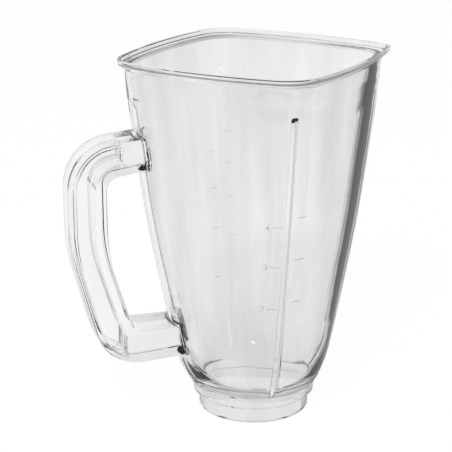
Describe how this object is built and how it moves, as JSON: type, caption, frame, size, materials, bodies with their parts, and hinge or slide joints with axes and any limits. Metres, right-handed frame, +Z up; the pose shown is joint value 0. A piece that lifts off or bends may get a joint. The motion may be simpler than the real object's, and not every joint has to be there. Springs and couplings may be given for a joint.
{
  "type": "blender jar",
  "caption": "Clear four-cornered jar with a round open neck for a blade seat, a pouring lip, corner ribs inside and a loop handle.",
  "frame": {"origin": "on the neck axis, at the underside of the neck ring that the jar stands on", "axes": "+Z up the neck axis to the mouth; +X towards the pouring lip, so the handle is on -X; +Y to the left of the lip"},
  "size_m": [0.1876, 0.1554, 0.21],
  "materials": {
    "clear_plastic": "clear, polished"
  },
  "bodies": {
    "root": {"jar": "clear_plastic"}
  },
  "joints": []
}
